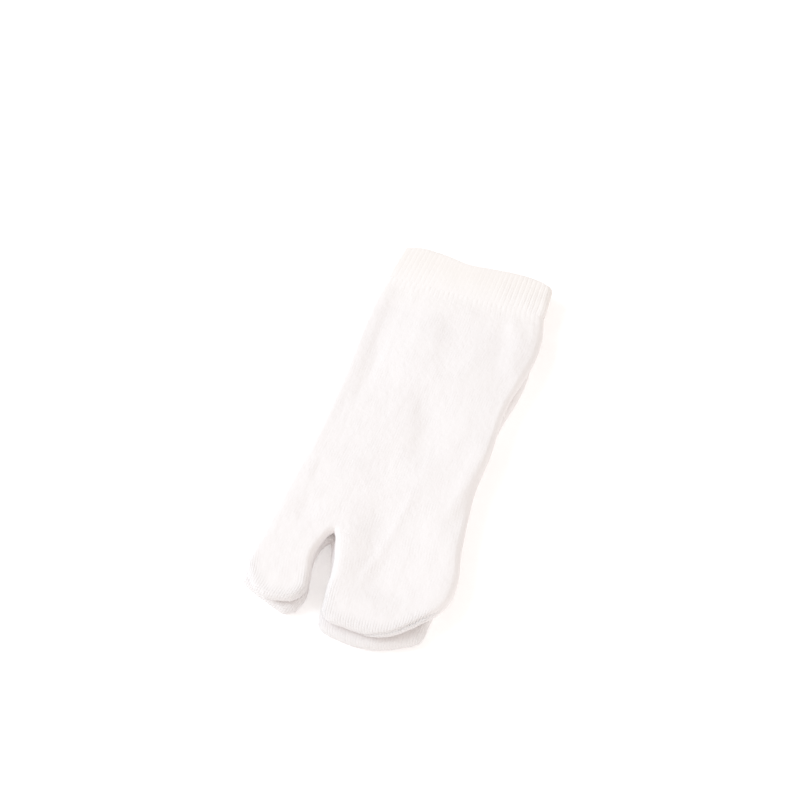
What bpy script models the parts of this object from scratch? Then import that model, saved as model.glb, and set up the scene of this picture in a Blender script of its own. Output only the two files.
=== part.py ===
"""A pair of tabi socks laid flat, one on the other, sole to sole.

Frame: +Z up from the surface that the pair lies on, +Y towards the cuffs, +X towards the little toe.
The upper sock lies instep up. The lower sock is its mirror twin, turned over, so both big toes are at -X.
Each sock is a knitted tube pressed flat: a wall of pile knit that runs all round, with round folds at its
edges, two toe pockets, and a ribbed cuff that is a solid of its own.
"""

import math

import bpy
import numpy as np

MM = 0.001

# Driving dimensions, in metres
WALL = 2.4 * MM              # thickness of the pile knit
LOFT = 7.4 * MM              # thickness of one flattened sock, both panels and the air between them
FOLD_RADIUS = LOFT / 2       # outer radius of the folded side edges and toe rims
STACK_GAP = 0.3 * MM         # clearance between the two socks
SEAM_GAP = 0.3 * MM          # clearance between a cuff and its sock
HEEL_FOLD = 1.2 * MM         # how much the heel pocket, folded flat under the sock, thickens the sole
CUFF_WALL = 1.7 * MM         # thickness of the cuff between its ribs
CUFF_RADIUS = 3.1 * MM       # half the thickness of the flattened cuff, without its ribs
RIB_HEIGHT = 0.6 * MM
RIB_COUNT = 70               # ribs round one cuff
RIB_PROFILE = (0.0, 1.0, 1.0)    # groove, crest, crest: the points of one rib
SIDE_PANEL_DROOP = 20.0      # how fast the upper sock sags past the lower one, in 1/metre

# Middle and half size of the heel pocket's folded oval
HEEL_MIDDLE = np.array((2.0, 58.0)) * MM
HEEL_HALF_SIZE = np.array((44.0, 39.0)) * MM

# Outlines, seen from above, as points of smooth curves: across, along, in millimetres
UPPER_OUTLINE = {
    "left edge": ((-49.6, 97.5), (-51.1, 74), (-50.2, 40), (-49.3, 10), (-50, -20), (-52.2, -46),
                  (-54.1, -71.6)),
    "right edge": ((50, 101.5), (53.4, 86), (53.9, 76), (51.8, 58), (48.2, 39), (47.5, 25), (48.6, 4),
                   (47.8, -24), (50, -44), (53.2, -64), (55.3, -71.6)),
    "big toe, outer side": ((-54.1, -71.6), (-55, -86), (-55.6, -97), (-54.2, -106.3), (-50.6, -112.5)),
    "big toe, tip": ((-50.6, -112.5), (-45, -117.4), (-38.2, -119.4), (-30.3, -118.3), (-24.6, -116.3),
                     (-20.6, -112.8)),
    "big toe, split side": ((-17.4, -71.6), (-19.2, -73.6), (-20.9, -78), (-22.4, -84.5), (-22.2, -91),
                            (-20.1, -99), (-18.7, -106.4), (-20.6, -112.8)),
    "four toes, split side": ((-17.4, -71.6), (-15.7, -74), (-14.1, -79), (-11.6, -86.5), (-10, -95),
                              (-9.4, -103), (-8.1, -110.6), (-6.9, -117.4)),
    "four toes, tip": ((-6.9, -117.4), (-3, -120), (8, -120.9), (17.6, -120.9), (27, -119.4), (34, -115.7),
                       (40.6, -110), (46.5, -103.6)),
    "four toes, outer side": ((55.3, -71.6), (56.2, -80), (55.8, -87), (52.8, -95.6), (46.5, -103.6)),
    "cuff, mouth": ((-46.5, 121), (-38, 124.2), (-22, 124.8), (-4, 122.8), (12, 124.8), (26, 126.4),
                    (42, 125.2), (48.5, 123)),
}
LOWER_OUTLINE = {
    "left edge": ((-47.2, 97.5), (-48.6, 74), (-47.8, 40), (-47, 10), (-47.6, -20), (-49, -46),
                  (-50, -75.3)),
    "right edge": ((47, 101.5), (50, 86), (52, 70), (52.4, 56), (51, 43.5), (48.4, 30), (46.4, 12),
                   (45.6, -14), (46, -34), (49, -60), (51, -75.3)),
    "big toe, outer side": ((-50, -75.3), (-51.2, -87), (-53.2, -96), (-55.2, -103.6), (-56, -109),
                            (-55, -112.2)),
    "big toe, tip": ((-55, -112.2), (-52.4, -114.2), (-47.6, -116.2), (-39.5, -118.8), (-33, -120.8),
                     (-27, -122), (-21.2, -118.8)),
    "big toe, split side": ((-18.6, -75.3), (-20.4, -77.4), (-22.1, -82.5), (-22.6, -90), (-20.6, -100),
                            (-18.9, -110), (-21.2, -118.8)),
    "four toes, split side": ((-18.6, -75.3), (-16.9, -77.6), (-15.1, -83), (-12.2, -91), (-10.6, -100),
                              (-9.6, -108), (-8.8, -115.5), (-7.4, -121.6)),
    "four toes, tip": ((-7.4, -121.6), (-4.6, -124.2), (0, -125.6), (5, -126), (12.8, -126.4), (23.8, -125.2),
                       (31.2, -122.6), (39, -118.6), (43.9, -115.7), (47, -113)),
    "four toes, outer side": ((51, -75.3), (50.6, -87), (49.4, -97), (48.6, -104.4), (48.4, -109.4),
                              (47, -113)),
    "cuff, mouth": ((-44.6, 119.5), (-36, 122.6), (-20, 123.4), (0, 122), (22, 124.4), (38, 123.6),
                    (45.8, 121.6)),
}

# Largest folds of the upper sock's instep: depth (minus) or height, half width, then the fold's line as
# across, along points; all in millimetres
INSTEP_FOLDS = (
    (-0.4, 8.0, ((-38.9, 94), (-36.8, 76), (-37, 54), (-36, 20), (-35, 4))),   # beside the rolled outer edge
    (-0.6, 7.5, ((-9.5, 90), (0, 76), (1.8, 62), (-1.6, 44))),              # down from the cuff
    (-1.2, 13.0, ((2.4, 88), (4.8, 70), (4.4, 50), (5.6, 34))),             # hollow over the heel
    (1.0, 6.5, ((33.6, 96), (41.4, 78), (43.8, 60), (43.6, 46))),           # puff above the ankle
    (-1.4, 11.5, ((-6, 36), (5, 18), (13, 4), (12, -8), (13.4, -24))),      # hollow of the instep
    (1.0, 5.2, ((46, 20), (43.8, 2), (42.8, -14), (42.8, -33), (37, -50))),   # pull at the little toe's side
    (-1.3, 8.0, ((48.6, 0), (48.4, -14), (45.8, -28), (44.2, -42), (34, -54))),   # beside that pull
    (-0.7, 9.0, ((-16, -20), (-5.2, -31), (-0.4, -41))),                    # across the ball of the foot
    (-1.4, 8.0, ((-13.4, -44), (-2.6, -57), (3.2, -70), (7, -83), (4.6, -104))),    # hollow behind the split
    (-1.2, 13.0, ((18, -40), (24.6, -62), (24, -84), (24, -110))),          # middle of the four toes
    (-0.8, 6.5, ((-38, -54), (-38, -74))),                                  # along the big toe
)

# Grid of each sock: cells across the big toe and the four toes, and along the foot and the toes
UPPER_CELLS = {"big toe": 5, "four toes": 9, "foot": 21, "toes": 5}
LOWER_CELLS = {"big toe": 4, "four toes": 8, "foot": 12, "toes": 4}
FOLD_STEPS = (0.0, 0.3, 1.0)     # where the columns of a round edge stand, as parts of its radius
CUFF_ROWS = 3
RUN_ON = 20 * MM             # how far the outline runs on past the open end
SLOPE_STEP = 1.0 * MM        # reach of the slopes that show which way is inwards


def smooth_curve(points):
    """Dense, evenly spaced points of a cubic curve through the given millimetre points."""
    knots = np.array(points, float) * MM
    gaps = np.linalg.norm(np.diff(knots, axis=0), axis=1)
    reach = np.concatenate(([0.0], np.cumsum(gaps)))
    slopes = np.gradient(knots, reach, axis=0)
    along = np.linspace(0.0, reach[-1], 30 * len(gaps) + 1)
    span = np.clip(np.searchsorted(reach, along, side="right") - 1, 0, len(gaps) - 1)
    gap = gaps[span][:, None]
    t = ((along - reach[span]) / gaps[span])[:, None]
    start = (2 * t**3 - 3 * t**2 + 1) * knots[span] + (t**3 - 2 * t**2 + t) * gap * slopes[span]
    end = (3 * t**2 - 2 * t**3) * knots[span + 1] + (t**3 - t**2) * gap * slopes[span + 1]
    return start + end


def smooth_curves(outline):
    """Every named stretch of an outline as a dense curve."""
    return {part: smooth_curve(points) for part, points in outline.items()}


def point_at(curve, part):
    """The point at a part, from 0 to 1, of a dense curve's length."""
    place = part * (len(curve) - 1)
    index = min(int(place), len(curve) - 2)
    return curve[index] + (place - index) * (curve[index + 1] - curve[index])


def graded_steps(length, cells, start=True, end=True):
    """Parts of a length, 0 to 1: close together on a round edge at either end, even between."""
    edge = [step * FOLD_RADIUS / length for step in FOLD_STEPS]
    first = edge if start else [0.0]
    last = [1.0 - part for part in reversed(edge)] if end else [1.0]
    between = np.linspace(first[-1], last[0], cells + 1)[1:-1]
    return first + list(between) + last


def run_on_outline(curves):
    """The sock's outline as one line of points, run on past the open end so that no edge crosses it."""
    run_on = np.array((0.0, RUN_ON))
    order = (
        curves["left edge"],
        curves["big toe, outer side"],
        curves["big toe, tip"],
        curves["big toe, split side"][::-1],
        curves["four toes, split side"],
        curves["four toes, tip"],
        curves["four toes, outer side"][::-1],
        curves["right edge"][::-1],
    )
    first = curves["left edge"][:1] + run_on
    last = curves["right edge"][:1] + run_on
    return np.vstack([first] + [curve[:-1] for curve in order] + [curves["right edge"][:1], last])


def inset(outline, point):
    """Distance from a plan point to the outline: plus inside, minus outside."""
    starts = outline[:-1]
    steps = outline[1:] - starts
    lengths = np.maximum((steps**2).sum(axis=1), 1e-18)
    parts = np.clip(((point - starts) * steps).sum(axis=1) / lengths, 0.0, 1.0)
    distance = np.linalg.norm(starts + parts[:, None] * steps - point, axis=1).min()
    ends = np.roll(outline, -1, axis=0)
    crosses = (outline[:, 1] > point[1]) != (ends[:, 1] > point[1])
    rise = np.where(crosses, ends[:, 1] - outline[:, 1], 1.0)
    at_x = outline[:, 0] + (point[1] - outline[:, 1]) / rise * (ends[:, 0] - outline[:, 0])
    inside = np.count_nonzero(crosses & (point[0] < at_x)) % 2 == 1
    return distance if inside else -distance


def inward(outline, point):
    """Unit vector in plan, from the nearest edge towards the inside."""
    across = np.array((SLOPE_STEP, 0.0))
    along = np.array((0.0, SLOPE_STEP))
    slope = np.array((
        inset(outline, point + across) - inset(outline, point - across),
        inset(outline, point + along) - inset(outline, point - along),
    ))
    return slope / max(np.linalg.norm(slope), 1e-9)


def heel_lift(point):
    """Extra thickness of one sole at its folded heel pocket."""
    rho = (((point - HEEL_MIDDLE) / HEEL_HALF_SIZE) ** 2).sum()
    return HEEL_FOLD * max(0.0, 1.0 - rho) ** 2


def fold_line_distance(line, point):
    """Distance from a plan point to a fold's line."""
    starts = line[:-1]
    steps = line[1:] - starts
    parts = np.clip(((point - starts) * steps).sum(axis=1) / (steps**2).sum(axis=1), 0.0, 1.0)
    return np.linalg.norm(starts + parts[:, None] * steps - point, axis=1).min()


def instep_relief(outline, point):
    """How far the instep's folds lift or sink the cloth at a plan point; nothing at the rim."""
    relief = 0.0
    for height, half_width, line in INSTEP_FOLDS:
        distance = fold_line_distance(np.array(line, float) * MM, point)
        relief += height * MM * math.exp(-((distance / (half_width * MM)) ** 2))
    rim_fade = min(1.0, max(0.0, inset(outline, point)) / FOLD_RADIUS)
    return relief * rim_fade


def plan_columns(curves, cells):
    """Grid of plan points, column by column, and the grid's split column and split row.

    Above the split, the columns either side of it are one and the same. Below it they part, the left one
    along the big toe and the right one along the four toes.
    """
    split = curves["big toe, split side"][0]
    big_width = np.linalg.norm(split - curves["left edge"][-1])
    four_width = np.linalg.norm(curves["right edge"][-1] - split)
    seam_width = np.linalg.norm(curves["right edge"][0] - curves["left edge"][0])
    foot_length = np.linalg.norm(curves["left edge"][0] - curves["left edge"][-1])
    toe_length = np.linalg.norm(curves["big toe, tip"].mean(axis=0) - split)

    big_steps = graded_steps(big_width, cells["big toe"])
    four_steps = graded_steps(four_width, cells["four toes"])
    whole = big_width + four_width
    split_steps = [part * big_width / whole for part in big_steps]
    split_steps += [(big_width + part * four_width) / whole for part in four_steps[1:]]
    seam_steps = graded_steps(seam_width, len(split_steps) - 1 - 2 * (len(FOLD_STEPS) - 1))
    foot_rows = graded_steps(foot_length, cells["foot"], start=False)
    toe_rows = graded_steps(toe_length, cells["toes"])[1:]
    split_column = len(big_steps) - 1

    columns = []
    for index, (seam_part, split_part) in enumerate(zip(seam_steps, split_steps)):
        column = []
        for row in foot_rows:
            left = point_at(curves["left edge"], row)
            right = point_at(curves["right edge"], row)
            spread = row * row * (3 - 2 * row)
            part = seam_part + (split_part - seam_part) * spread
            column.append(left + part * (right - left))
        column[-1] = toe_row_start(curves, index, split_column, big_steps, four_steps)
        columns.append(column)
    columns.insert(split_column + 1, list(columns[split_column]))

    for index, column in enumerate(columns):
        if index <= split_column:
            part = big_steps[index]
            sides = ("big toe, outer side", "big toe, split side", "big toe, tip")
        else:
            part = four_steps[index - split_column - 1]
            sides = ("four toes, split side", "four toes, outer side", "four toes, tip")
        near, far, tip = (curves[side] for side in sides)
        bow = point_at(tip, part) - (tip[0] + part * (tip[-1] - tip[0]))
        for row in toe_rows:
            straight = point_at(near, row) + part * (point_at(far, row) - point_at(near, row))
            column.append(straight + row * row * bow)
    return columns, split_column, len(foot_rows) - 1


def toe_row_start(curves, index, split_column, big_steps, four_steps):
    """A point of the row at the split: left edge to split, then split to right edge."""
    split = curves["big toe, split side"][0]
    if index <= split_column:
        return curves["left edge"][-1] + big_steps[index] * (split - curves["left edge"][-1])
    return split + four_steps[index - split_column] * (curves["right edge"][-1] - split)


def build_shell(columns, split_column, split_row):
    """Faces of a flattened tube over the plan grid, with the index of each plan point's top and bottom."""
    last_column = len(columns) - 1
    last_row = len(columns[0]) - 1
    points = []
    sides = []
    top = {}
    bottom = {}
    for i, column in enumerate(columns):
        for j, point in enumerate(column):
            if i == split_column + 1 and j <= split_row:
                top[i, j] = top[i - 1, j]
                bottom[i, j] = bottom[i - 1, j]
                continue
            on_split = i in (split_column, split_column + 1) and j >= split_row
            rim = i in (0, last_column) or j == last_row or on_split
            top[i, j] = len(points)
            points.append(point)
            sides.append(0 if rim else 1)
            if not rim:
                points.append(point)
                sides.append(-1)
            bottom[i, j] = len(points) - 1
    faces = []
    for i in range(last_column):
        for j in range(last_row):
            if i == split_column:
                continue
            corners = ((i, j), (i, j + 1), (i + 1, j + 1), (i + 1, j))
            faces += split_face([top[corner] for corner in corners], sides)
            faces += split_face([bottom[corner] for corner in reversed(corners)], sides)
    mouth = [top[i, 0] for i in range(last_column + 1) if i != split_column + 1]
    mouth += [bottom[i, 0] for i in range(last_column - 1, 0, -1) if i != split_column + 1]
    return points, sides, faces, mouth


def split_face(face, sides):
    """Two triangles where a face has one point off the rim, so that top and bottom share no face."""
    off_rim = [place for place, index in enumerate(face) if sides[index]]
    if len(off_rim) != 1:
        return [face]
    a, b, c, d = face[off_rim[0]:] + face[:off_rim[0]]
    return [[a, b, c], [a, c, d]]


def make_object(name, points, faces, material):
    """One named object from points and outward faces."""
    mesh = bpy.data.meshes.new(name)
    mesh.from_pydata([tuple(point) for point in points], [], faces)
    mesh.validate()
    mesh.materials.append(material)
    mesh.shade_smooth()
    mesh.set_sharp_from_angle(angle=math.radians(50))
    thing = bpy.data.objects.new(name, mesh)
    bpy.context.scene.collection.objects.link(thing)
    return thing


def make_sock(name, outline, cells, base, settle, material):
    """The knitted tube: an outer and an inner wall that meet at the open end.

    Seen across an edge, both walls are half circles about one centre, then level. base is the height of
    the underside, and settle gives the lift of the outer and of the inner wall at a plan point, from its
    side: 1 on top, 0 at the rim, -1 below.
    """
    curves = smooth_curves(outline)
    edge = run_on_outline(curves)
    columns, split_column, split_row = plan_columns(curves, cells)
    points, sides, faces, mouth = build_shell(columns, split_column, split_row)
    middle = base + FOLD_RADIUS

    outer = []
    inner = []
    for index, (point, side) in enumerate(zip(points, sides)):
        depth = max(0.0, inset(edge, point)) if side else 0.0
        lean = max(0.0, 1.0 - depth / FOLD_RADIUS)       # cosine of the wall's turn over the edge
        rise = side * math.sqrt(1.0 - lean**2)
        step = inward(edge, point) * lean * WALL
        if index in mouth:
            step[1] = 0.0
        outer_lift, inner_lift = settle(point, side)
        outer.append((point[0], point[1], middle + rise * FOLD_RADIUS + outer_lift))
        inner_height = middle + rise * (FOLD_RADIUS - WALL) + inner_lift
        inner.append((point[0] + step[0], point[1] + step[1], inner_height))

    count = len(outer)
    walls = faces + [[count + index for index in reversed(face)] for face in faces]
    for here, there in zip(mouth, mouth[1:] + mouth[:1]):
        walls.append([here, there, count + there, count + here])
    return make_object(name, outer + inner, walls, material)


def make_cuff(name, outline, middle, ribs_below, material):
    """The ribbed band: ribs raised in its outer points over a plain inside."""
    left = np.array(outline["left edge"][0]) * MM
    right = np.array(outline["right edge"][0]) * MM
    gap = np.array((0.0, SEAM_GAP))
    mouth = smooth_curve(outline["cuff, mouth"])
    outer_rings = []
    inner_rings = []
    for row in range(CUFF_ROWS):
        part = row / (CUFF_ROWS - 1)
        line = [
            (1 - part) * (left + gap + step * (right - left)) + part * point_at(mouth, step)
            for step in np.linspace(0.0, 1.0, 61)
        ]
        outer_rings.append(cuff_ring(np.array(line), middle, RIB_COUNT * len(RIB_PROFILE), True, ribs_below))
        inner_rings.append(cuff_ring(np.array(line), middle, RIB_COUNT, False, ribs_below))

    points = [point for ring in outer_rings + inner_rings for point in ring]
    around = len(outer_rings[0])
    inner_around = len(inner_rings[0])
    inner_start = around * CUFF_ROWS
    faces = ring_faces(0, around, flip=False) + ring_faces(inner_start, inner_around, flip=True)
    last = CUFF_ROWS - 1
    faces += end_faces(0, inner_start, around, inner_around, flip=False)
    faces += end_faces(last * around, inner_start + last * inner_around, around, inner_around, flip=True)
    return make_object(name, points, faces, material)


def cuff_ring(line, middle, count, ribbed, ribs_below):
    """One closed ring of the cuff over a line across it, from the left fold over the top and back below."""
    radius = CUFF_RADIUS if ribbed else CUFF_RADIUS - CUFF_WALL
    width = np.linalg.norm(line[-1] - line[0])
    level = width - 2 * CUFF_RADIUS
    half_turn = math.pi * CUFF_RADIUS
    around = 2 * level + 2 * half_turn
    ring = []
    for index in range(count):
        walk = around * index / count
        if walk < level:
            across, turn = CUFF_RADIUS + walk, math.pi / 2
        elif walk < level + half_turn:
            across, turn = width - CUFF_RADIUS, math.pi / 2 - (walk - level) / CUFF_RADIUS
        elif walk < 2 * level + half_turn:
            across, turn = width - CUFF_RADIUS - (walk - level - half_turn), -math.pi / 2
        else:
            across, turn = CUFF_RADIUS, -math.pi / 2 - (walk - 2 * level - half_turn) / CUFF_RADIUS
        crest = RIB_PROFILE[index % len(RIB_PROFILE)] if ribbed else 0.0
        if not ribs_below and math.sin(turn) < -0.5:
            crest = 0.0
        out = radius + RIB_HEIGHT * crest
        part = (across + out * math.cos(turn)) / width
        plan = point_at(line, min(max(part, 0.0), 1.0))
        past = (min(part, 0.0) + max(part - 1.0, 0.0)) * width
        ring.append((plan[0] + past, plan[1], middle + out * math.sin(turn)))
    return ring


def ring_faces(start, around, flip):
    """Faces between neighbouring rings of the cuff."""
    faces = []
    for row in range(CUFF_ROWS - 1):
        for index in range(around):
            here = start + row * around + index
            there = start + row * around + (index + 1) % around
            face = [here, there, there + around, here + around]
            faces.append(face[::-1] if flip else face)
    return faces


def end_faces(outer_start, inner_start, around, inner_around, flip):
    """Flat faces that join an outer ring to the inner ring, which has one point for each rib."""
    per_rib = around // inner_around
    faces = []
    for rib in range(inner_around):
        inner = inner_start + rib
        inner_next = inner_start + (rib + 1) % inner_around
        fan = [outer_start + (rib * per_rib + step) % around for step in range(per_rib + 1)]
        rib_faces = [[fan[step], inner, fan[step + 1]] for step in range(per_rib)]
        rib_faces.append([fan[per_rib], inner, inner_next])
        faces += [face[::-1] if flip else face for face in rib_faces]
    return faces


def knit_material(name, color):
    """A matt cloth."""
    material = bpy.data.materials.new(name)
    material.use_nodes = True
    shader = material.node_tree.nodes["Principled BSDF"]
    shader.inputs["Base Color"].default_value = (*color, 1.0)
    shader.inputs["Roughness"].default_value = 0.95
    shader.inputs["Metallic"].default_value = 0.0
    return material


def main():
    for thing in list(bpy.data.objects):
        bpy.data.objects.remove(thing, do_unlink=True)

    pile_knit = knit_material("white pile knit", (0.93, 0.89, 0.90))
    rib_knit = knit_material("cream rib knit", (0.92, 0.87, 0.82))

    lower_edge = run_on_outline(smooth_curves(LOWER_OUTLINE))
    upper_edge = run_on_outline(smooth_curves(UPPER_OUTLINE))

    def lower_settle(point, side):
        lift = heel_lift(point) if side > 0 else 0.0
        return lift, 0.0

    def upper_settle(point, side):
        past = max(0.0, FOLD_RADIUS - inset(lower_edge, point))
        sag = SIDE_PANEL_DROOP * past**2
        heel = heel_lift(point)
        if side < 0:
            return heel - sag, 2 * heel - sag
        lift = 2 * heel - sag + (instep_relief(upper_edge, point) if side > 0 else 0.0)
        return lift, lift

    make_sock("lower_sock", LOWER_OUTLINE, LOWER_CELLS, 0.0, lower_settle, pile_knit)
    make_sock("upper_sock", UPPER_OUTLINE, UPPER_CELLS, LOFT + STACK_GAP, upper_settle, pile_knit)

    lower_middle = CUFF_RADIUS
    upper_middle = 3 * CUFF_RADIUS + 2 * RIB_HEIGHT + STACK_GAP
    make_cuff("lower_cuff", LOWER_OUTLINE, lower_middle, False, rib_knit)
    make_cuff("upper_cuff", UPPER_OUTLINE, upper_middle, True, rib_knit)


main()
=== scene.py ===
import math

import bpy
import numpy as np
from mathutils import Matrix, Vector, noise


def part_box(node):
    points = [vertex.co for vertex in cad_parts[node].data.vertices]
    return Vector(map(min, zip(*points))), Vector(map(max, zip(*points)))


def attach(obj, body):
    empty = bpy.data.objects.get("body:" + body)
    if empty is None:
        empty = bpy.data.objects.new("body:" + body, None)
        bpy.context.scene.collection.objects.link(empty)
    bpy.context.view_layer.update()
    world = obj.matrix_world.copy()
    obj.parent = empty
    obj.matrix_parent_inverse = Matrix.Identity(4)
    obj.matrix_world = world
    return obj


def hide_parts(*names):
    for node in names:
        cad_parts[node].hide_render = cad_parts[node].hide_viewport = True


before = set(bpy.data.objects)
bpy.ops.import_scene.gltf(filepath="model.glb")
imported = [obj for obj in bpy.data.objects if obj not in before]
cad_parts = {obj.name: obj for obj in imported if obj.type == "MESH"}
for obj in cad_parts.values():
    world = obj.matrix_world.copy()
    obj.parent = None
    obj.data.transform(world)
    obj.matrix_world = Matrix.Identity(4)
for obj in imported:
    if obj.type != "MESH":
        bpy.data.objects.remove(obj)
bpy.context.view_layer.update()        # four nodes that ride on one body, "root"
mm = 0.001
print("frame loaded:", ", ".join(sorted(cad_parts)))

# A pair of tabi socks that lies flat, the upper sock on the lower one, sole to sole.
# Each sock is a knitted tube: one fine closed shell for its body and one for its ribbed cuff.

# Edges seen from above, as points of smooth curves in mm: across to the little toe, along to the cuff
upperOutline = {
    "left edge": ((-49.6, 97.5), (-51.1, 74), (-50.2, 40), (-49.3, 10), (-50, -20), (-52.2, -46),
                  (-54.1, -71.6)),
    "right edge": ((50, 101.5), (53.4, 86), (53.9, 76), (51.8, 58), (48.2, 39), (47.5, 25), (48.6, 4),
                   (47.8, -24), (50, -44), (53.2, -64), (55.3, -71.6)),
    "big toe, outer side": ((-54.1, -71.6), (-55, -86), (-55.6, -97), (-54.2, -106.3), (-50.6, -112.5)),
    "big toe, tip": ((-50.6, -112.5), (-45, -117.4), (-38.2, -119.4), (-30.3, -118.3), (-24.6, -116.3),
                     (-20.6, -112.8)),
    "big toe, split side": ((-17.4, -71.6), (-19.2, -73.6), (-20.9, -78), (-22.4, -84.5), (-22.2, -91),
                            (-20.1, -99), (-18.7, -106.4), (-20.6, -112.8)),
    "four toes, split side": ((-17.4, -71.6), (-15.7, -74), (-14.1, -79), (-11.6, -86.5), (-10, -95),
                              (-9.4, -103), (-8.1, -110.6), (-6.9, -117.4)),
    "four toes, tip": ((-6.9, -117.4), (-3, -120), (8, -120.9), (17.6, -120.9), (27, -119.4), (34, -115.7),
                       (40.6, -110), (46.5, -103.6)),
    "four toes, outer side": ((55.3, -71.6), (56.2, -80), (55.8, -87), (52.8, -95.6), (46.5, -103.6)),
    "cuff, mouth": ((-46.5, 121), (-38, 124.2), (-22, 124.8), (-4, 122.8), (12, 124.8), (26, 126.4),
                    (42, 125.2), (48.5, 123)),
}
lowerOutline = {
    "left edge": ((-47.2, 97.5), (-48.6, 74), (-47.8, 40), (-47, 10), (-47.6, -20), (-49, -46),
                  (-50, -75.3)),
    "right edge": ((47, 101.5), (50, 86), (52, 70), (52.4, 56), (51, 43.5), (48.4, 30), (46.4, 12),
                   (45.6, -14), (46, -34), (49, -60), (51, -75.3)),
    "big toe, outer side": ((-50, -75.3), (-51.2, -87), (-53.2, -96), (-55.2, -103.6), (-56, -109),
                            (-55, -112.2)),
    "big toe, tip": ((-55, -112.2), (-52.4, -114.2), (-47.6, -116.2), (-39.5, -118.8), (-33, -120.8),
                     (-27, -122), (-21.2, -118.8)),
    "big toe, split side": ((-18.6, -75.3), (-20.4, -77.4), (-22.1, -82.5), (-22.6, -90), (-20.6, -100),
                            (-18.9, -110), (-21.2, -118.8)),
    "four toes, split side": ((-18.6, -75.3), (-16.9, -77.6), (-15.1, -83), (-12.2, -91), (-10.6, -100),
                              (-9.6, -108), (-8.8, -115.5), (-7.4, -121.6)),
    "four toes, tip": ((-7.4, -121.6), (-4.6, -124.2), (0, -125.6), (5, -126), (12.8, -126.4), (23.8, -125.2),
                       (31.2, -122.6), (39, -118.6), (43.9, -115.7), (47, -113)),
    "four toes, outer side": ((51, -75.3), (50.6, -87), (49.4, -97), (48.6, -104.4), (48.4, -109.4),
                              (47, -113)),
    "cuff, mouth": ((-44.6, 119.5), (-36, 122.6), (-20, 123.4), (0, 122), (22, 124.4), (38, 123.6),
                    (45.8, 121.6)),
}

tube = {
    "foldRadius": 3.7 * mm,      # half the thickness of a flattened sock
    "wall": 2.4 * mm,            # pile knit
    "cornerThinning": 0.45,      # part that the wall loses inside the corners of the toe pockets
    "cornerReach": 3.5 * mm,
    "stackGap": 0.3 * mm,        # between the two socks
    "cell": 1.25 * mm,           # mesh spacing on the level panels
    "foldStep": 9,               # degrees between mesh points round a folded edge
    "pointsPerGap": 12,          # on the curve of an edge, between two of its given points
    "runOn": 20 * mm,            # how far the outline goes on past the open end
    "slopeReach": 1 * mm,        # half the stretch over which the way inwards is read
    "sharpAngle": 60,            # degrees past which an edge is shaded sharp
    "wales": 140,                # columns of stitches all round
    "toeGauge": 1.5 * mm,        # width of a column in the toe pockets
    "toeTurn": 25 * mm,          # stretch past the split over which the columns turn into the pockets
    "heelMiddle": (2 * mm, 58 * mm),
    "heelHalfSize": (44 * mm, 39 * mm),
    "heelFold": 1.2 * mm,        # what the heel pocket, folded flat, adds to a sole
    "droop": 20.0,               # how fast the upper sock sags past the lower one, in 1/m
    "narrowing": 14 * mm,        # stretch over which a sock draws in to its cuff
    "creaseStart": 7 * mm,       # stretch below the cuff over which the creases come in
}


def smoothCurve(points):
    # dense, evenly spaced points of a cubic curve through points given in mm
    knots = np.array(points, float) * mm
    gaps = np.linalg.norm(np.diff(knots, axis=0), axis=1)
    reach = np.concatenate(([0.0], np.cumsum(gaps)))
    slopes = np.gradient(knots, reach, axis=0)
    along = np.linspace(0.0, reach[-1], tube["pointsPerGap"] * len(gaps) + 1)
    span = np.clip(np.searchsorted(reach, along, side="right") - 1, 0, len(gaps) - 1)
    gap = gaps[span][:, None]
    t = ((along - reach[span]) / gaps[span])[:, None]
    start = (2 * t**3 - 3 * t**2 + 1) * knots[span] + (t**3 - 2 * t**2 + t) * gap * slopes[span]
    end = (3 * t**2 - 2 * t**3) * knots[span + 1] + (t**3 - t**2) * gap * slopes[span + 1]
    return start + end


def smoothCurves(outline):
    return {part: smoothCurve(points) for part, points in outline.items()}


def pointsAt(curve, parts):
    # points at parts, 0 to 1, of a dense curve's length
    places = np.asarray(parts) * (len(curve) - 1)
    index = np.minimum(places.astype(int), len(curve) - 2)
    return curve[index] + (places - index)[..., None] * (curve[index + 1] - curve[index])


def smoothStep(values):
    values = np.clip(values, 0.0, 1.0)
    return values * values * (3 - 2 * values)


def gradedSteps(length, cells, start=True):
    # parts of a length: close together on the round edge at its end, and at its start too if it has one
    # there, and even between
    turns = np.radians(np.arange(0, 91, tube["foldStep"]))
    edge = (1 - np.cos(turns)) * tube["foldRadius"] / length
    first = edge if start else np.array([0.0])
    last = (1 - edge)[::-1]
    between = np.linspace(first[-1], last[0], cells + 1)[1:-1]
    return np.concatenate((first, between, last))


def cellsFor(length):
    return round((length - 2 * tube["foldRadius"]) / tube["cell"])


def runOnOutline(curves):
    # the whole outline as one line, run on past the open end so that no edge crosses it
    runOn = np.array((0.0, tube["runOn"]))
    order = (
        curves["left edge"],
        curves["big toe, outer side"],
        curves["big toe, tip"],
        curves["big toe, split side"][::-1],
        curves["four toes, split side"],
        curves["four toes, tip"],
        curves["four toes, outer side"][::-1],
        curves["right edge"][::-1],
    )
    first = curves["left edge"][:1] + runOn
    last = curves["right edge"][:1]
    return np.vstack([first] + [curve[:-1] for curve in order] + [last, last + runOn])


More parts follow.
